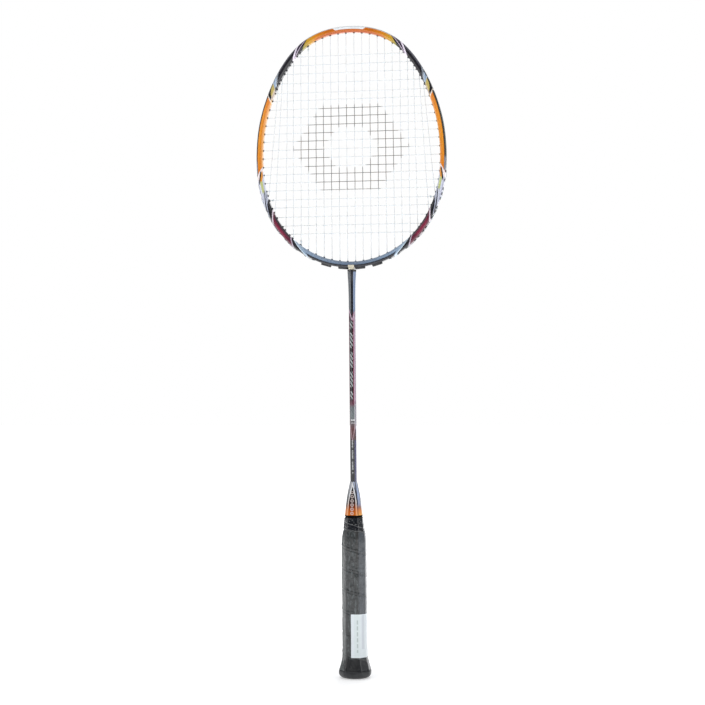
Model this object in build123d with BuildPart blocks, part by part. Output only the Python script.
from build123d import *
import math
import os
from bisect import bisect_right

# ---------------------------------------------------------------------------
# Badminton racket, modelled as the separate pieces it is assembled from.
#
# Frame: origin at the middle of the butt's end face. +Z runs up the handle and
# the shaft to the top of the head, +X lies across the head, +Y is normal to
# the string bed. The front of the racket faces -Y, so +X is right. Millimetres.
#
# A place on the head is an arc length from the top centre of its outline, with
# a side: 1 for the right half, -1 for the left. A hole is an (arc, side) pair.
# ---------------------------------------------------------------------------

os.makedirs("parts", exist_ok=True)

FROM_BASE = (Align.CENTER, Align.CENTER, Align.MIN)
OVERCUT = 0.1               # how far a cut starts outside the body it opens

# --- Head dimensions ---------------------------------------------------------
HEAD_POLE_Z = 550.0         # pole of the head's polar outline
THROAT_Z = 425.07           # outer face of the head tube at the throat

# Head outline: radius(angle) = sum of HEAD_COS[k] * cos(k * angle) about the
# pole, angle measured from the top; the outline is the tube's outer edge.
HEAD_COS = [112.2093, -1.2634, 13.0596, 1.7917, 0.2901, -0.0390, -0.2515,
            -0.3130, -0.2393, -0.0957, -0.0491, -0.0452, -0.0546]
ARC_STEPS = 4000            # steps of the arc length table, over half the head
LOOP_STEPS = 60             # spline stretches of the tube, over half the head

# Tube section (width lies in the plane of the head, depth along Y)
TUBE_WIDTH = 6.2
TUBE_DEPTH = 9.8
TUBE_WALL = 1.1
TUBE_CORNER_R = 1.1
GROOVE_WIDTH = 3.4          # string groove on the outer side
GROOVE_DEPTH = 1.9
GROOVE_CUT = 5.0            # height of the section that cuts the groove
GROOVE_END = 198.0          # arc where the groove starts to run out
GROOVE_GONE = 203.2         # arc where it is gone
GROOVE_RISE = 0.35          # slope of the cutter, away from the tube beyond that

# Arcs of the string holes, one half of the head
MAIN_TOP_ARCS = [4.5, 13.3, 22.3, 31.6, 40.7, 50.9, 62.5, 75.4, 86.7, 98.8, 109.6]
MAIN_BOTTOM_ARCS = [353.1, 344.2, 335.0, 325.8, 315.9, 305.7, 295.4, 283.7,
                    271.0, 248.0, 228.2]
CROSS_ARCS = [67.6, 80.2, 91.3, 103.1, 114.7, 123.4, 133.3, 142.3, 151.3, 160.3,
              169.0, 178.2, 187.2, 196.4, 204.8, 214.1, 223.0, 233.6, 243.0,
              254.8, 266.5, 278.7]

# --- Grommet dimensions ------------------------------------------------------
GROMMET_D = 2.0
GROMMET_BORE = 1.15
GROMMET_FLANGE_D = 3.0
GROMMET_FLANGE_T = 0.5
GROMMET_TIP = 0.8           # how far it stands inside the head
TIE_GROMMET_D = 2.7
TIE_GROMMET_BORE = 1.85
TIE_FLANGE_D = 3.2
HOLE_CLEARANCE = 0.06       # on the radius, between a grommet and the tube
GROOVE_SEAT_GAP = 0.02      # flange above the groove's floor
FACE_SEAT_GAP = 0.03        # flange above the plain face of the tube
HOLE_CUT = 24.0             # length of the cutter through both tube walls

# Throat pads, each over a pair of holes
PAD_FLOOR = 0.8             # channel floor above the tube
PAD_HEIGHT = 2.0
PAD_WIDTH = 4.6
PAD_CHANNEL = 2.4
PAD_LIFT = 0.12             # the pad's flat foot clears the curve of the tube
PAD_TAPER = 10

# --- T-joint dimensions ------------------------------------------------------
T_ARM = 17.5                # reach of each arm inside the tube
T_SEAT_REACH = 12.0         # reach of the cut for the tube, each side
T_NECK_D = 5.6
T_NECK_LENGTH = 8.9
T_TONGUE_D = 4.5
T_TONGUE_Z = 372.0
T_COLLAR_D = 9.2
T_COLLAR_Z = 420.8
T_COLLAR_T = 2.0
T_SADDLE = (6.2, 8.6)       # across X, along Y
T_SADDLE_CORNER_R = 1.6
T_SADDLE_HEIGHT = 6.2
T_CLEARANCE = 0.10

# --- Shaft dimensions --------------------------------------------------------
SHAFT_D = 6.8
SHAFT_BORE = 4.7
SHAFT_FOOT_Z = 84.0
# Flare at the top: (Z, radius)
SHAFT_PROFILE = [(390.0, 3.40), (400.0, 3.58), (408.0, 3.80), (414.0, 4.12),
                 (420.7, 4.50)]

# --- Handle dimensions -------------------------------------------------------
# Cone: (Z, radius across X)
CONE_PROFILE = [(203.2, 3.72), (200.0, 4.45), (196.5, 5.28), (190.3, 6.60),
                (184.0, 7.55), (177.8, 8.42), (171.6, 9.22), (167.9, 9.70)]
CONE_FLAT = 0.925           # the cone's facets lie at this part of its radius
CONE_RIM_Z = 166.35
CONE_RIM_R = 9.15
# Faceting octagons: (Z, half width, half thickness)
CONE_FACETS = [
    (CONE_RIM_Z - 0.5, CONE_PROFILE[-1][1] * CONE_FLAT + 0.33, None),
    (185.0, 7.45 * CONE_FLAT + 0.25, None),
    (203.4, 3.85, 3.85),
]
SPIGOT_D = 12.4
SPIGOT_Z = 181.0
SPIGOT_END_GAP = 0.2        # socket depth beyond the spigot

# Wrapped grip: (Z, half width across X)
GRIP_OUTER = [(8.9, 16.05), (12.0, 15.00), (16.0, 13.90), (20.0, 13.00),
              (24.0, 12.62), (30.0, 12.50), (134.0, 12.50), (140.5, 12.40),
              (146.7, 11.95), (152.9, 10.85), (159.1, 10.20), (166.0, 9.45)]
GRIP_FOOT_Z = GRIP_OUTER[0][0]
OCT_Y = 0.896               # half thickness / half width
OCT_FLAT_X = 0.56           # front flat, half length / half width
OCT_FLAT_Y = 0.40           # side flat, half length / half thickness
GRIP_T = 1.70
GRIP_CORNER_R = 1.2
FIT = 0.05                  # clearance between nested handle pieces
CORE_STEP_Z = 24.0
CORE_FOOT_Z = 2.6
LIGHTENING_D = 11.0
LIGHTENING_Z = 76.0

# Butt cap
CAP_WALL = 1.6
CAP_RIM_Z = 8.8
CAP_FLAT_R = 9.0            # flat middle of the end face
# Edge of the domed end: (radius, Z)
CAP_EDGE = [(CAP_FLAT_R, 0.0), (13.6, 0.75), (15.9, 2.4), (16.55, 4.6), (16.45, 6.8),
            (16.05, CAP_RIM_Z)]
# Faceting octagons: (Z, half width, half thickness)
CAP_FACETS = [(-0.1, 16.7, 15.1), (4.6, 16.7, 15.1), (8.9, 16.2, 14.6)]

# Staples, one on each side of the cap
STAPLE_Z = 15.0
STAPLE_CROWN = (0.7, 5.4, 1.0)
STAPLE_POCKET = (2.6, 6.2, 1.9)
STAPLE_POCKET_OUT = 0.25    # pocket centre beyond the cap's face
STAPLE_SINK = 0.95          # crown's inner face below the cap's face
STAPLE_LEG_R = 0.4
STAPLE_HOLE_R = 0.5
STAPLE_LEG_REACH = 3.2      # how far the legs enter the core
STAPLE_LEG_OVERLAP = 0.3    # how far they enter the crown
STAPLE_LEGS = [(-2.2, 0), (2.2, 0)]

# Finishing tape and label
TAPE_T = 0.32
TAPE_TOP_Z = 166.1
TAPE_FOOT_Z = 151.15        # where the tape starts, before its slanting cut
TAPE_LOW_Z = 153.1          # lower edge at X=0; it falls to the right
TAPE_SLOPE = -3.0 / 22.0
TAPE_CORNER_R = 1.3
GRIP_DRAW_Z = (150.9, 151.1)  # the grip steps in under the tape between these
LABEL_Z = (22.0, 67.0)
LABEL_T = 0.12
LABEL_X = -2.0              # left edge; the label wraps the side to the right
LABEL_CORNER_R = 1.3
WRAP_GAP = 0.03             # under the tape and under the label

# --- String dimensions -------------------------------------------------------
STRING_D = 0.68
WEAVE = 0.375               # crossing strings sit this far either side of Y=0
CREST = 1.1                 # tangent length of the bend at each crossing
CREST_EASE = 0.045          # what that bend takes off the corner's height
CROSSING_CLEAR = 0.9        # least distance from a crossing to a string's ends
MAIN_FACE = -1              # outside the tube, mains run on the -Y side
CROSS_FACE = 1              # and crosses on the +Y side
RUN_Y = 0.80                # distance of those runs from Y=0
RUN_STEP = 2.4              # spacing of the points along a run
RUN_BEND = 0.85             # tangent length of the bends along a run
RUN_LIFT = 0.92             # run above the grommets' seat
PAD_RUN_LIFT = 0.45         # run above the floor of a pad's channel
TIE_Y = 0.43                # two strings share a tie-off hole, at +-TIE_Y
BEND = 0.90                 # tangent length of the bend at a grommet's mouth
BEND_SHARE = 0.45           # most of a stretch that one bend may take
OUTER_INSET = 0.12          # depth of a bore's outer end below the flange top
MOUTH_D = TUBE_WIDTH + GROMMET_TIP      # depth of a grommet's inner mouth
VERTEX_D = MOUTH_D + 0.3                # where the string turns into the bed
KNOT_R = 0.80               # radius of a knot's turns about its anchor string
KNOT_TURNS = 2.5
KNOT_PITCH = 0.73
KNOT_STEPS = 30
KNOT_DISTANCE = 2.1         # from the anchor's vertex to the first turn
KNOT_MOUTH = 0.25           # the tied end runs straight this far past the mouth
KNOT_LEAD = (0.6, 1.6)      # reach of the tied end's bend, at its start and end
KNOT_LEAD_STEPS = 7
KNOT_BEND_SHARE = 0.48


# --- Head outline ------------------------------------------------------------
def outline(angle):
    """Point (x, z) of the outline and its derivative, angle from the top."""
    radius = sum(c * math.cos(k * angle) for k, c in enumerate(HEAD_COS))
    slope = sum(-k * c * math.sin(k * angle) for k, c in enumerate(HEAD_COS))
    sin, cos = math.sin(angle), math.cos(angle)
    return (radius * sin, HEAD_POLE_Z + radius * cos,
            slope * sin + radius * cos, slope * cos - radius * sin)


ARC_TABLE = [0.0]
for step in range(ARC_STEPS):
    _, _, step_x, step_z = outline(math.pi * (step + 0.5) / ARC_STEPS)
    ARC_TABLE.append(ARC_TABLE[-1] + math.hypot(step_x, step_z) * math.pi / ARC_STEPS)
HALF_ARC = ARC_TABLE[-1]


def outline_at(arc):
    """Point (x, z) and unit tangent (x, z) of the right half at an arc length."""
    low = min(bisect_right(ARC_TABLE, arc) - 1, ARC_STEPS - 1)
    part = (arc - ARC_TABLE[low]) / (ARC_TABLE[low + 1] - ARC_TABLE[low])
    x, z, tangent_x, tangent_z = outline(math.pi * (low + part) / ARC_STEPS)
    size = math.hypot(tangent_x, tangent_z)
    return x, z, tangent_x / size, tangent_z / size


def rail(arc, depth=0.0, y=0.0, side=1):
    """Point at an arc length, a depth inside the outer edge."""
    x, z, tangent_x, tangent_z = outline_at(arc)
    return Vector(side * (x + depth * tangent_z), y, z - depth * tangent_x)


def outward(arc, side=1):
    _, _, tangent_x, tangent_z = outline_at(arc)
    return Vector(-side * tangent_z, 0, tangent_x)


def along(arc, side=1):
    """Direction of growing arc length."""
    _, _, tangent_x, tangent_z = outline_at(arc)
    return Vector(side * tangent_x, 0, tangent_z)


def groove_floor(arc):
    """Depth of the seat for the grommet flanges below the outer edge."""
    part = min(max((arc - GROOVE_END) / (GROOVE_GONE - GROOVE_END), 0.0), 1.0)
    return GROOVE_DEPTH * (1.0 - part * part * (3.0 - 2.0 * part))


def hole_planes(holes):
    """Planes at the holes: Z points outward, X along growing arc length."""
    return [Plane(origin=rail(arc, 0, 0, side), x_dir=along(arc, side),
                  z_dir=outward(arc, side)) for arc, side in holes]


# --- Hole groups -------------------------------------------------------------
# Tie-off holes carry two strings
TIE_HOLES = [(CROSS_ARCS[17], 1), (CROSS_ARCS[17], -1),
             (MAIN_TOP_ARCS[5], -1), (MAIN_BOTTOM_ARCS[6], -1)]
PADS = [(MAIN_BOTTOM_ARCS[0], MAIN_BOTTOM_ARCS[1]),
        (MAIN_BOTTOM_ARCS[2], MAIN_BOTTOM_ARCS[3])]
PAD_SPAN = PADS[0][0] - PADS[0][1]
PAD_ARCS = [arc for pair in PADS for arc in pair]
NARROW_HOLES = [(arc, side) for side in (1, -1)
                for arc in MAIN_TOP_ARCS + MAIN_BOTTOM_ARCS + CROSS_ARCS
                if (arc, side) not in TIE_HOLES]
SINGLE_HOLES = [hole for hole in NARROW_HOLES if hole[0] not in PAD_ARCS]

# --- Tube and cavity sections, (outward from mid tube, Y) --------------------
HALF_W, HALF_D = TUBE_WIDTH / 2, TUBE_DEPTH / 2
TUBE_PTS = [(HALF_W, -3.4), (1.9, -HALF_D), (-1.2, -HALF_D), (-HALF_W, -2.9),
            (-HALF_W, 2.9), (-1.2, HALF_D), (1.9, HALF_D), (HALF_W, 3.4)]
CAVITY_FLOOR = HALF_W - GROOVE_DEPTH - TUBE_WALL
CAVITY_LOBE = GROOVE_WIDTH / 2 + TUBE_WALL
CAVITY_PTS = [(CAVITY_FLOOR, -CAVITY_LOBE), (1.7, -CAVITY_LOBE),
              (1.2, -HALF_D + TUBE_WALL), (-0.8, -HALF_D + TUBE_WALL),
              (-HALF_W + TUBE_WALL, -2.4), (-HALF_W + TUBE_WALL, 2.4),
              (-0.8, HALF_D - TUBE_WALL), (1.2, HALF_D - TUBE_WALL),
              (1.7, CAVITY_LOBE), (CAVITY_FLOOR, CAVITY_LOBE)]
ARM_PTS = [(CAVITY_FLOOR - T_CLEARANCE, -CAVITY_LOBE + 0.3),
           (CAVITY_FLOOR - T_CLEARANCE, CAVITY_LOBE - 0.3),
           (-0.9, 3.4), (-HALF_W + TUBE_WALL + T_CLEARANCE, 2.0),
           (-HALF_W + TUBE_WALL + T_CLEARANCE, -2.0), (-0.9, -3.4)]


# --- Head frame --------------------------------------------------------------
def loop_points():
    """Closed centre line of the tube, clockwise from the top seen from the front."""
    right = [rail(HALF_ARC * k / LOOP_STEPS, HALF_W) for k in range(LOOP_STEPS + 1)]
    left = [rail(HALF_ARC * k / LOOP_STEPS, HALF_W, 0, -1)
            for k in range(LOOP_STEPS - 1, 0, -1)]
    return right + left


def groove_point(arc, side):
    lift = GROOVE_RISE * max(0.0, arc - GROOVE_GONE)
    return rail(arc, groove_floor(arc) - lift, 0, side)


def groove_points():
    """Groove floor from the right end over the top to the left, finer at the ends."""
    arcs = [205.5 - 0.65 * k for k in range(13)] + [196.0 - 7.0 * k for k in range(28)] + [0.0]
    return ([groove_point(arc, 1) for arc in arcs]
            + [groove_point(arc, -1) for arc in reversed(arcs[:-1])])


def build_head_frame():
    with BuildPart() as head_frame:
        with BuildLine() as loop:
            Spline(*loop_points(), periodic=True)
        top_section = Plane(origin=loop.line @ 0, x_dir=(0, 0, 1), z_dir=(1, 0, 0))
        with BuildSketch(top_section) as tube_section:
            Polygon(*TUBE_PTS, align=None)
            fillet(tube_section.vertices(), TUBE_CORNER_R)
        sweep(path=loop.line)
        with BuildSketch(top_section):
            Polygon(*CAVITY_PTS, align=None)
        sweep(path=loop.line, mode=Mode.SUBTRACT)
        # string groove, running out below the middle of the head; -Y of the
        # sketch points outward
        with BuildLine() as groove:
            Spline(*groove_points())
        with BuildSketch(Plane(origin=groove.line @ 0, x_dir=(0, 1, 0), z_dir=groove.line % 0)):
            with Locations((0, -GROOVE_CUT / 2)):
                Rectangle(GROOVE_WIDTH, GROOVE_CUT)
        sweep(path=groove.line, mode=Mode.SUBTRACT)
        # grommet holes through both walls
        with Locations(*hole_planes(NARROW_HOLES)):
            Cylinder(GROMMET_D / 2 + HOLE_CLEARANCE, HOLE_CUT, mode=Mode.SUBTRACT)
        with Locations(*hole_planes(TIE_HOLES)):
            Cylinder(TIE_GROMMET_D / 2 + HOLE_CLEARANCE, HOLE_CUT, mode=Mode.SUBTRACT)
        # opening for the T-joint's neck
        with Locations((0, 0, THROAT_Z)):
            Cylinder(T_NECK_D / 2 + HOLE_CLEARANCE, 6, mode=Mode.SUBTRACT)
    return head_frame.part


# --- T-joint: collar, saddle, neck and tongue, with two arms inside the tube --
def throat_points(reach, steps):
    """Centre line of the tube across the throat, from right to left."""
    return ([rail(HALF_ARC - reach * k / steps, HALF_W, 0, 1) for k in range(steps, -1, -1)]
            + [rail(HALF_ARC - reach * k / steps, HALF_W, 0, -1) for k in range(1, steps + 1)])


def build_t_joint():
    with BuildPart() as t_joint:
        with BuildSketch(Plane.XY.offset(T_COLLAR_Z)):
            Circle(T_COLLAR_D / 2)
        extrude(amount=T_COLLAR_T)
        fillet(t_joint.edges().filter_by(GeomType.CIRCLE), 0.5)
        # narrow saddle between the throat pads
        with BuildSketch(Plane.XY.offset(T_COLLAR_Z + T_COLLAR_T / 2)):
            RectangleRounded(*T_SADDLE, T_SADDLE_CORNER_R)
        extrude(amount=T_SADDLE_HEIGHT)
        # the saddle fits the tube's outer face
        with BuildLine() as seat:
            Spline(*throat_points(T_SEAT_REACH, 4))
        with BuildSketch(Plane(origin=seat.line @ 0, x_dir=outward(HALF_ARC - T_SEAT_REACH),
                               z_dir=seat.line % 0)) as seat_section:
            Polygon(*TUBE_PTS, align=None)
            fillet(seat_section.vertices(), TUBE_CORNER_R)
            offset(amount=T_CLEARANCE, mode=Mode.REPLACE)
        sweep(path=seat.line, mode=Mode.SUBTRACT)
        # neck through the tube's outer wall
        with Locations((0, 0, T_COLLAR_Z)):
            Cylinder(T_NECK_D / 2, T_NECK_LENGTH, align=FROM_BASE)
        with BuildLine() as arms:
            Spline(*throat_points(T_ARM, 6))
        with BuildSketch(Plane(origin=arms.line @ 0, x_dir=outward(HALF_ARC - T_ARM),
                               z_dir=arms.line % 0)):
            Polygon(*ARM_PTS, align=None)
        sweep(path=arms.line)
        # clearance for the grommets that pass through the arms
        with Locations(*hole_planes([(arc, side) for arc in PADS[0] for side in (1, -1)])):
            Cylinder(GROMMET_D / 2 + HOLE_CLEARANCE, 18, mode=Mode.SUBTRACT)
        # tongue that the shaft is glued over
        with BuildSketch(Plane.XY.offset(T_TONGUE_Z)):
            Circle(T_TONGUE_D / 2)
        extrude(amount=T_COLLAR_Z - T_TONGUE_Z + 0.6)
        chamfer(t_joint.edges().group_by(Axis.Z)[0], 0.5)
    return t_joint.part


# --- Shaft: a tube, flared where it meets the T-joint ------------------------
def build_shaft():
    bore_r = SHAFT_BORE / 2
    flare_z = SHAFT_PROFILE[0][0]
    top_z, top_r = SHAFT_PROFILE[-1]
    with BuildPart() as shaft:
        with BuildSketch(Plane.XZ):
            with BuildLine():
                Polyline((bore_r, flare_z), (bore_r, SHAFT_FOOT_Z),
                         (SHAFT_D / 2, SHAFT_FOOT_Z), (SHAFT_D / 2, flare_z))
                Spline(*[(radius, z) for z, radius in SHAFT_PROFILE],
                       tangents=((0, 1), (0.07, 1)))
                Polyline((top_r, top_z), (bore_r, top_z), (bore_r, flare_z))
            make_face()
        revolve(axis=Axis.Z)
    return shaft.part


# --- Octagonal handle sections -----------------------------------------------
def octagon(half_x, half_y=None):
    """Corners of a handle section from its half width and half thickness."""
    half_y = half_x * OCT_Y if half_y is None else half_y
    flat_x, flat_y = half_x * OCT_FLAT_X, half_y * OCT_FLAT_Y
    return [(flat_x, -half_y), (half_x, -flat_y), (half_x, flat_y), (flat_x, half_y),
            (-flat_x, half_y), (-half_x, flat_y), (-half_x, -flat_y), (-flat_x, -half_y)]


def half_width(z):
    """Half width of the wrapped grip at height z."""
    for (low_z, low_half), (high_z, high_half) in zip(GRIP_OUTER, GRIP_OUTER[1:]):
        if z <= high_z:
            return low_half + (high_half - low_half) * (z - low_z) / (high_z - low_z)
    return GRIP_OUTER[-1][1]


def levels(bottom, top):
    """Both heights, and the grip's stations between them."""
    return [bottom] + [z for z, _ in GRIP_OUTER if bottom < z < top] + [top]


def rings(bottom, top, growth=0.0):
    """(Z, half width) of the grip's outside between two heights, grown."""
    return [(z, half_width(z) + growth) for z in levels(bottom, top)]


CORE_SKIRT = half_width(CORE_STEP_Z) - GRIP_T - 2 * FIT - CAP_WALL
CAP_FACE = half_width(STAPLE_Z) - GRIP_T - FIT      # cap's side at the staples


def staple_plane(side, x=0.0):
    """Plane at a staple's height: Z points to its side, X along +Y."""
    return Plane(origin=(x, 0, STAPLE_Z), x_dir=(0, 1, 0), z_dir=(side, 0, 0))


# --- Handle cone -------------------------------------------------------------
def build_handle_cone():
    top_z, top_r = CONE_PROFILE[0]
    foot_z, foot_r = CONE_PROFILE[-1]
    with BuildPart() as handle_cone:
        with BuildSketch(Plane.XZ):
            with BuildLine():
                Spline(*[(radius, z) for z, radius in CONE_PROFILE])
                Polyline((foot_r, foot_z), (CONE_RIM_R, foot_z), (CONE_RIM_R, CONE_RIM_Z),
                         (0, CONE_RIM_Z), (0, top_z), (top_r, top_z))
            make_face()
        revolve(axis=Axis.Z)
        # eight facets, their edges running up into the round nose
        for z, half_x, half_y in CONE_FACETS:
            with BuildSketch(Plane.XY.offset(z)):
                Polygon(*octagon(half_x, half_y), align=None)
        loft(ruled=True, mode=Mode.INTERSECT)
        # socket for the handle core's spigot, then the shaft's bore
        with Locations((0, 0, CONE_RIM_Z - OVERCUT)):
            Cylinder(SPIGOT_D / 2 + FIT, SPIGOT_Z - CONE_RIM_Z + OVERCUT + SPIGOT_END_GAP,
                     align=FROM_BASE, mode=Mode.SUBTRACT)
            Cylinder(SHAFT_D / 2 + FIT, 60, align=FROM_BASE, mode=Mode.SUBTRACT)
    return handle_cone.part


# --- Handle core -------------------------------------------------------------
def build_handle_core():
    with BuildPart() as handle_core:
        for z, half in rings(CORE_STEP_Z, TAPE_TOP_Z, -GRIP_T - FIT):
            with BuildSketch(Plane.XY.offset(z)):
                Polygon(*octagon(half), align=None)
        loft(ruled=True)
        with BuildSketch(Plane.XY.offset(CORE_FOOT_Z)):
            Polygon(*octagon(CORE_SKIRT), align=None)
        extrude(amount=CORE_STEP_Z - CORE_FOOT_Z)
        with BuildSketch(Plane.XY.offset(TAPE_TOP_Z)):
            Circle(SPIGOT_D / 2)
        extrude(amount=SPIGOT_Z - TAPE_TOP_Z)
        chamfer(handle_core.edges().group_by(Axis.Z)[-1], 0.6)
        # bore for the shaft, and a lightening bore from the butt
        with BuildSketch(Plane.XY.offset(SHAFT_FOOT_Z - OVERCUT)):
            Circle(SHAFT_D / 2 + FIT)
        extrude(amount=120, mode=Mode.SUBTRACT)
        with BuildSketch(Plane.XY):
            Circle(LIGHTENING_D / 2)
        extrude(amount=LIGHTENING_Z, mode=Mode.SUBTRACT)
        # holes for the legs of the two staples
        for side in (1, -1):
            with Locations(staple_plane(side)):
                with Locations(*STAPLE_LEGS):
                    Cylinder(STAPLE_HOLE_R, CORE_SKIRT + 1, align=FROM_BASE,
                             mode=Mode.SUBTRACT)
    return handle_core.part


# --- Butt cap: a domed end, a rim and a flared skirt under the grip ----------
def build_butt_cap():
    with BuildPart() as butt_cap:
        with BuildSketch(Plane.XZ):
            with BuildLine():
                Line((0, 0), CAP_EDGE[0])
                Spline(*CAP_EDGE, tangents=((1, 0), (-0.2, 1)))
                Polyline(CAP_EDGE[-1], (0, CAP_RIM_Z), (0, 0))
            make_face()
        revolve(axis=Axis.Z)
        for z, half_x, half_y in CAP_FACETS:
            with BuildSketch(Plane.XY.offset(z)):
                Polygon(*octagon(half_x, half_y), align=None)
        loft(ruled=True, mode=Mode.INTERSECT)
        # skirt, from the rim to just below the core's step
        inner_levels = levels(GRIP_FOOT_Z, CORE_STEP_Z)[1:-1]
        for z in [CAP_RIM_Z] + inner_levels + [CORE_STEP_Z - 0.1]:
            with BuildSketch(Plane.XY.offset(z)):
                Polygon(*octagon(half_width(max(z, GRIP_FOOT_Z)) - GRIP_T - FIT), align=None)
        loft(ruled=True)
        # socket for the core
        with BuildSketch(Plane.XY.offset(CORE_FOOT_Z - FIT)):
            Polygon(*octagon(CORE_SKIRT + FIT), align=None)
        extrude(amount=40, mode=Mode.SUBTRACT)
        # pockets and leg holes for the staples
        for side in (1, -1):
            with Locations((side * (CAP_FACE + STAPLE_POCKET_OUT), 0, STAPLE_Z)):
                Box(*STAPLE_POCKET, mode=Mode.SUBTRACT)
            with Locations(staple_plane(side)):
                with Locations(*STAPLE_LEGS):
                    Cylinder(STAPLE_HOLE_R, 20, align=FROM_BASE, mode=Mode.SUBTRACT)
    return butt_cap.part


def build_cap_staples():
    crown_x = CAP_FACE - STAPLE_SINK
    leg_length = crown_x - CORE_SKIRT + STAPLE_LEG_REACH + STAPLE_LEG_OVERLAP
    with BuildPart() as cap_staples:
        for side in (1, -1):
            with Locations((side * (crown_x + STAPLE_CROWN[0] / 2), 0, STAPLE_Z)):
                Box(*STAPLE_CROWN)
            with Locations(staple_plane(side, side * (CORE_SKIRT - STAPLE_LEG_REACH))):
                with Locations(*STAPLE_LEGS):
                    Cylinder(STAPLE_LEG_R, leg_length, align=FROM_BASE)
    return cap_staples.part


# --- Grip, finishing tape and label ------------------------------------------
def sleeve(outside, outside_r, inside, inside_r, cut=None):
    """Octagonal sleeve between two sets of rings, with corner radii (0 is sharp).

    With a cut plane, only what lies on its +Z side stays.
    """
    with BuildPart() as body:
        for stations, corner_r, mode in ((outside, outside_r, Mode.ADD),
                                         (inside, inside_r, Mode.SUBTRACT)):
            for z, half in stations:
                with BuildSketch(Plane.XY.offset(z)) as ring:
                    Polygon(*octagon(half), align=None)
                    if corner_r:
                        fillet(ring.vertices(), corner_r)
            loft(ruled=True, mode=mode)
        if cut is not None:
            split(bisect_by=cut, keep=Keep.TOP)
    return body.part


def build_grip():
    # the finishing tape draws the grip in where it covers it
    outside = (rings(GRIP_FOOT_Z + FIT, GRIP_DRAW_Z[0])
               + rings(GRIP_DRAW_Z[1], TAPE_TOP_Z - 0.1, -TAPE_T))
    return sleeve(outside, GRIP_CORNER_R, rings(GRIP_FOOT_Z, TAPE_TOP_Z, -GRIP_T), 0)


def build_finishing_tape():
    return sleeve(rings(TAPE_FOOT_Z, TAPE_TOP_Z), TAPE_CORNER_R,
                  rings(TAPE_FOOT_Z, TAPE_TOP_Z, WRAP_GAP - TAPE_T), 1.15,
                  cut=Plane(origin=(0, 0, TAPE_LOW_Z), z_dir=(-TAPE_SLOPE, 0, 1)))


def build_label_sticker():
    return sleeve(rings(*LABEL_Z, WRAP_GAP + LABEL_T), LABEL_CORNER_R,
                  rings(*LABEL_Z, WRAP_GAP), GRIP_CORNER_R,
                  cut=Plane(origin=(LABEL_X, 0, 0), z_dir=(1, 0, 0)))


# --- Grommets ----------------------------------------------------------------
def grommet_solid(floor, outer_r, bore_r, flange_r):
    """Grommet about Z, its flange seated a depth `floor` below the outer edge."""
    tip = -MOUTH_D
    top = -floor + GROMMET_FLANGE_T
    # half section, (radius, height outward from the tube's outer edge)
    profile = [(bore_r, tip + 0.2), (bore_r + 0.15, tip), (outer_r - 0.15, tip),
               (outer_r, tip + 0.3), (outer_r, -floor), (flange_r, -floor),
               (flange_r, top - 0.15), (flange_r - 0.15, top), (bore_r + 0.4, top),
               (bore_r, top - 0.4), (bore_r, tip + 0.2)]
    with BuildPart() as grommet:
        with BuildSketch(Plane.XZ):
            with BuildLine():
                Polyline(*profile)
            make_face()
        revolve(axis=Axis.Z)
    return grommet.part


def grommet_set(holes, outer_d, bore_d, flange_d):
    """Grommets in the holes, seated in the groove or on the tube's plain face."""
    radii = outer_d / 2, bore_d / 2, flange_d / 2
    in_groove = grommet_solid(GROOVE_DEPTH - GROOVE_SEAT_GAP, *radii)
    on_face = grommet_solid(-FACE_SEAT_GAP, *radii)
    with BuildPart() as grommets:
        with Locations(*hole_planes([hole for hole in holes if hole[0] < GROOVE_END])):
            add(in_groove)
        with Locations(*hole_planes([hole for hole in holes if hole[0] > GROOVE_END])):
            add(on_face)
    return grommets.part


def build_grommets_single():
    return grommet_set(SINGLE_HOLES, GROMMET_D, GROMMET_BORE, GROMMET_FLANGE_D)


def build_grommets_tie_off():
    return grommet_set(TIE_HOLES, TIE_GROMMET_D, TIE_GROMMET_BORE, TIE_FLANGE_D)


def build_throat_grommets():
    """Pairs of grommets, each under one moulded, channelled pad."""
    with BuildPart() as throat_grommets:
        for high, low in PADS:
            for side in (1, -1):
                ends = rail(high, 0, 0, side), rail(low, 0, 0, side)
                foot = Plane(origin=(ends[0] + ends[1]) * 0.5, x_dir=ends[0] - ends[1],
                             z_dir=outward((high + low) / 2, side))
                with BuildSketch(foot.offset(PAD_LIFT)):
                    SlotCenterToCenter(PAD_SPAN - 2.6, PAD_WIDTH)
                extrude(amount=PAD_HEIGHT - PAD_LIFT, taper=PAD_TAPER)
                with BuildSketch(foot.offset(PAD_FLOOR)):
                    SlotCenterToCenter(PAD_SPAN + 4, PAD_CHANNEL)
                extrude(amount=4, mode=Mode.SUBTRACT)
        with Locations(*hole_planes([(arc, side) for arc in PAD_ARCS for side in (1, -1)])):
            with Locations((0, 0, -MOUTH_D)):
                Cylinder(GROMMET_D / 2, MOUTH_D + 0.45, align=FROM_BASE)
            Cylinder(GROMMET_BORE / 2, 30, mode=Mode.SUBTRACT)
            # the bore widens at the channel's floor
            with Locations((0, 0, PAD_FLOOR - 0.4)):
                Cone(GROMMET_BORE / 2, GROMMET_BORE / 2 + 0.3, 0.5, align=FROM_BASE,
                     mode=Mode.SUBTRACT)
    return throat_grommets.part


# --- String bed --------------------------------------------------------------
def tie_offset(hole, face):
    """Two strings share a tie-off hole; a lone string runs down the middle."""
    return face * TIE_Y if hole in TIE_HOLES else 0.0


def bed_vertex(hole, face):
    """Where the string through a hole turns into the bed."""
    arc, side = hole
    return rail(arc, VERTEX_D, tie_offset(hole, face), side)


# Mains from left to right as (side, number from the centre)
MAIN_ORDER = [(-1, k) for k in range(10, -1, -1)] + [(1, k) for k in range(11)]
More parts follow.
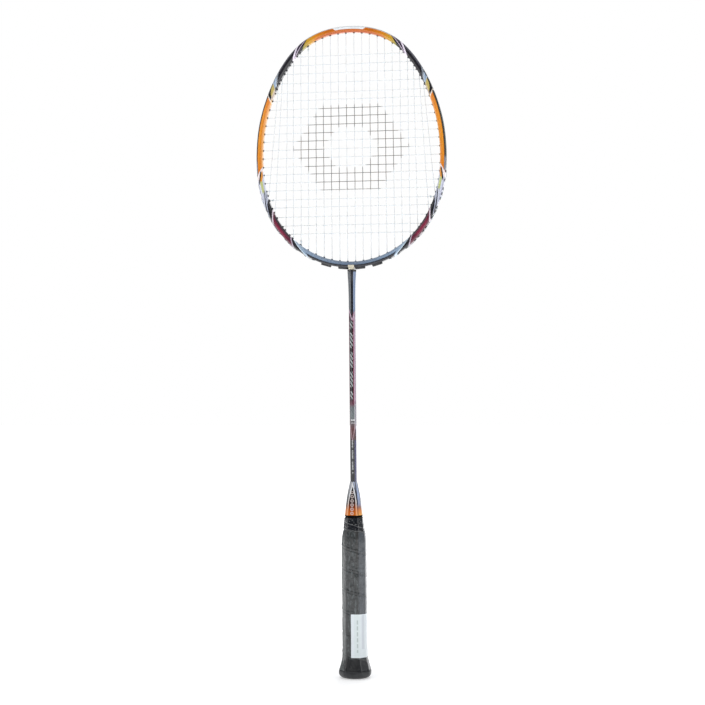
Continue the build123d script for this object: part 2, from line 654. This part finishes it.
# Vertex to vertex lines: mains from top to foot, crosses from left to right
MAINS = [(bed_vertex((MAIN_TOP_ARCS[k], side), MAIN_FACE),
          bed_vertex((MAIN_BOTTOM_ARCS[k], side), MAIN_FACE)) for side, k in MAIN_ORDER]
CROSSES = [(bed_vertex((arc, -1), CROSS_FACE), bed_vertex((arc, 1), CROSS_FACE))
           for arc in CROSS_ARCS]


def meet(main, cross):
    """Crossing in the plane of the head: x, z and the distance along each line.

    None where it falls outside either line or too near an end.
    """
    main_run, cross_run = main[1] - main[0], cross[1] - cross[0]
    gap = cross[0] - main[0]
    scale = main_run.X * cross_run.Z - main_run.Z * cross_run.X
    main_part = (gap.X * cross_run.Z - gap.Z * cross_run.X) / scale
    cross_part = (gap.X * main_run.Z - gap.Z * main_run.X) / scale
    on_main, on_cross = main_part * main_run.length, cross_part * cross_run.length
    if min(on_main, main_run.length - on_main,
           on_cross, cross_run.length - on_cross) <= CROSSING_CLEAR:
        return None
    return (main[0].X + main_part * main_run.X, main[0].Z + main_part * main_run.Z,
            on_main, on_cross)


def weave():
    """Crossing points on each main and on each cross, in order along them."""
    on_mains = [[] for _ in MAINS]
    on_crosses = [[] for _ in CROSSES]
    for i, main in enumerate(MAINS):
        for j, cross in enumerate(CROSSES):
            crossing = meet(main, cross)
            if crossing:
                x, z, main_distance, cross_distance = crossing
                y = (WEAVE + CREST_EASE) * (1 if (i + j) % 2 == 0 else -1)
                on_mains[i].append((main_distance, Vector(x, y, z)))
                on_crosses[j].append((cross_distance, Vector(x, -y, z)))
    return [[[point for _, point in sorted(row, key=lambda item: item[0])] for row in rows]
            for rows in (on_mains, on_crosses)]


MAIN_CROSSINGS, CROSS_CROSSINGS = weave()


# --- String paths, as lists of edges -----------------------------------------
def corner(before, bend, after, cut, tight):
    """Rounded corner with a tangent length `cut`: its edge, start and end."""
    to_before, to_after = (before - bend).normalized(), (after - bend).normalized()
    start, end = bend + to_before * cut, bend + to_after * cut
    turn = math.pi - math.acos(max(-1.0, min(1.0, to_before.dot(to_after))))
    if turn < 0.004:
        return Line(start, end, mode=Mode.PRIVATE), start, end
    radius = cut / math.tan(turn / 2)
    middle = bend + ((start + end) * 0.5 - bend).normalized() * (
        radius / math.cos(turn / 2) - radius)
    if tight:
        edge = Spline(start, middle, end, mode=Mode.PRIVATE,
                      tangents=((bend - start).normalized(), (end - bend).normalized()))
    else:
        edge = ThreePointArc(start, middle, end, mode=Mode.PRIVATE)
    return edge, start, end


def string_path(points, cuts, tight_ends=True):
    """Straight stretches through the points, rounded by one cut per inner point."""
    edges = []
    here = points[0]
    for k, cut in enumerate(cuts, 1):
        tight = tight_ends and k in (1, len(points) - 2)
        edge, start, end = corner(points[k - 1], points[k], points[k + 1], cut, tight)
        edges += [Line(here, start, mode=Mode.PRIVATE), edge]
        here = end
    return edges + [Line(here, points[-1], mode=Mode.PRIVATE)]


def shorter_side(points, k):
    return min((points[k] - points[k - 1]).length, (points[k + 1] - points[k]).length)


def outer_end(hole, y):
    """Outer end of the string's straight run through a grommet."""
    arc, side = hole
    flange_top = -PAD_FLOOR if arc in PAD_ARCS else groove_floor(arc) - GROMMET_FLANGE_T
    return rail(arc, flange_top + OUTER_INSET, y, side)


def run_depth(arc):
    """Depth of a run along the outside of the tube."""
    for high, low in PADS:
        if low - 0.1 <= arc <= high + 0.1:
            return -PAD_FLOOR - PAD_RUN_LIFT
    return groove_floor(arc) - RUN_LIFT


def bed(line, crossings, start_hole, end_hole, backward):
    """Bore, bend, woven bed, bend, bore."""
    step = -1 if backward else 1
    first, last = line[::step]
    points = [outer_end(start_hole, first.Y), first, *crossings[::step],
              last, outer_end(end_hole, last.Y)]
    # corners near a grommet's mouth give way to it
    cuts = [BEND] + [CREST] * len(crossings) + [BEND]
    return string_path(points, [min(cut, BEND_SHARE * shorter_side(points, k))
                                for k, cut in enumerate(cuts, 1)])


def loop_outside(start_hole, end_hole, face):
    """From one grommet's outer mouth along the tube to the next."""
    (start_arc, start_side), (end_arc, end_side) = start_hole, end_hole
    start_y, end_y = tie_offset(start_hole, face), tie_offset(end_hole, face)
    if start_side == end_side:
        count = max(3, int(round(abs(end_arc - start_arc) / RUN_STEP)))
        middles = [(start_arc + (end_arc - start_arc) * k / count, start_side)
                   for k in range(1, count)]
    else:
        # over the top of the head
        middles = [(start_arc * 0.5, start_side), (end_arc * 0.5, end_side)]
    points = [outer_end(start_hole, start_y),
              rail(start_arc, run_depth(start_arc), start_y, start_side)]
    points += [rail(arc, run_depth(arc), face * RUN_Y, side) for arc, side in middles]
    points += [rail(end_arc, run_depth(end_arc), end_y, end_side),
               outer_end(end_hole, end_y)]
    cuts = [(points[1] - points[0]).length - 0.02]
    cuts += [min(RUN_BEND, BEND_SHARE * shorter_side(points, k))
             for k in range(2, len(points) - 2)]
    cuts += [(points[-1] - points[-2]).length - 0.02]
    return string_path(points, cuts)


def anchor_at(hole):
    """Vertex of the bed string through a hole, and its direction into the bed."""
    arc, side = hole
    if arc in CROSS_ARCS:
        number = CROSS_ARCS.index(arc)
        line, crossings = CROSSES[number], CROSS_CROSSINGS[number]
        end = 0 if side == -1 else -1
    else:
        at_top = arc in MAIN_TOP_ARCS
        arcs = MAIN_TOP_ARCS if at_top else MAIN_BOTTOM_ARCS
        number = MAIN_ORDER.index((side, arcs.index(arc)))
        line, crossings = MAINS[number], MAIN_CROSSINGS[number]
        end = 0 if at_top else -1
    return line[end], (crossings[end] - line[end]).normalized()


def knot_coil(hole, mouth):
    """Turns about the anchor string, starting on the side of the mouth."""
    vertex, axis = anchor_at(hole)
    centre = vertex + axis * KNOT_DISTANCE
    toward = mouth - centre
    toward = (toward - axis * toward.dot(axis)).normalized()
    across = axis.cross(toward)
    coil = []
    for k in range(KNOT_STEPS + 1):
        turns = KNOT_TURNS * k / KNOT_STEPS
        angle = 2 * math.pi * turns
        coil.append(centre + toward * (KNOT_R * math.cos(angle))
                    + across * (KNOT_R * math.sin(angle)) + axis * (KNOT_PITCH * turns))
    return coil


def lead(start, end, start_dir, end_dir):
    """Inner points of a cubic bend from start along start_dir to end along end_dir."""
    start_pull = start + start_dir * KNOT_LEAD[0]
    end_pull = end - end_dir * KNOT_LEAD[1]
    points = []
    for k in range(1, KNOT_LEAD_STEPS):
        t = k / KNOT_LEAD_STEPS
        points.append(start * (1 - t) ** 3 + start_pull * (3 * t * (1 - t) ** 2)
                      + end_pull * (3 * t * t * (1 - t)) + end * t ** 3)
    return points


def tied_end(own_hole, tie_hole, face):
    """The end of a string with its knot, drawn away from its own last hole."""
    arc, side = tie_hole
    tie_y = tie_offset(tie_hole, face)
    mouth = rail(arc, MOUTH_D + KNOT_MOUTH, tie_y, side)
    coil = knot_coil(tie_hole, mouth)
    coil_dir = (coil[1] - coil[0]).normalized()
    points = [outer_end(tie_hole, tie_y), mouth]
    points += lead(mouth, coil[0], outward(arc, side) * -1, coil_dir) + coil
    cuts = [KNOT_BEND_SHARE * shorter_side(points, k) for k in range(1, len(points) - 1)]
    return loop_outside(own_hole, tie_hole, face) + string_path(points, cuts, tight_ends=False)


def string_solid(edges):
    with BuildPart() as string:
        with BuildLine() as path:
            add(Wire(edges))
        run = path.wires()[0]
        with BuildSketch(Plane(origin=run @ 0, z_dir=run % 0)):
            Circle(STRING_D / 2)
        sweep(path=run)
    return string.part


def build_main_string():
    """The mains are one string: left outer foot, up and down the head, right outer foot."""
    edges = []
    for number, (side, k) in enumerate(MAIN_ORDER):
        upward = k % 2 == (0 if side == -1 else 1)
        start_arcs, end_arcs = MAIN_TOP_ARCS, MAIN_BOTTOM_ARCS
        if upward:
            start_arcs, end_arcs = end_arcs, start_arcs
        end_hole = (end_arcs[k], side)
        edges += bed(MAINS[number], MAIN_CROSSINGS[number], (start_arcs[k], side), end_hole,
                     backward=upward)
        if number + 1 < len(MAIN_ORDER):
            next_side, next_k = MAIN_ORDER[number + 1]
            edges += loop_outside(end_hole, (end_arcs[next_k], next_side), MAIN_FACE)
    for side in (-1, 1):
        edges += tied_end((MAIN_BOTTOM_ARCS[10], side), (CROSS_ARCS[17], side), MAIN_FACE)
    return string_solid(edges)


def build_cross_string():
    """The crosses are one string: the top cross runs left to right, the next one back."""
    edges = []
    for number, arc in enumerate(CROSS_ARCS):
        backward = number % 2 == 1
        end_side = -1 if backward else 1
        edges += bed(CROSSES[number], CROSS_CROSSINGS[number], (arc, -end_side),
                     (arc, end_side), backward)
        if number + 1 < len(CROSS_ARCS):
            edges += loop_outside((arc, end_side), (CROSS_ARCS[number + 1], end_side),
                                  CROSS_FACE)
    for own_arc, tie_arc in ((CROSS_ARCS[0], MAIN_TOP_ARCS[5]),
                             (CROSS_ARCS[21], MAIN_BOTTOM_ARCS[6])):
        edges += tied_end((own_arc, -1), (tie_arc, -1), CROSS_FACE)
    return string_solid(edges)


# --- Export ------------------------------------------------------------------
PIECES = {
    "head_frame": build_head_frame,
    "t_joint": build_t_joint,
    "shaft": build_shaft,
    "handle_cone": build_handle_cone,
    "handle_core": build_handle_core,
    "butt_cap": build_butt_cap,
    "cap_staples": build_cap_staples,
    "grip": build_grip,
    "finishing_tape": build_finishing_tape,
    "label_sticker": build_label_sticker,
    "grommets_single": build_grommets_single,
    "grommets_tie_off": build_grommets_tie_off,
    "throat_grommets": build_throat_grommets,
    "main_string": build_main_string,
    "cross_string": build_cross_string,
}
for name, build in PIECES.items():
    piece = build()
    piece.label = name
    export_step(piece, f"parts/{name}.step")
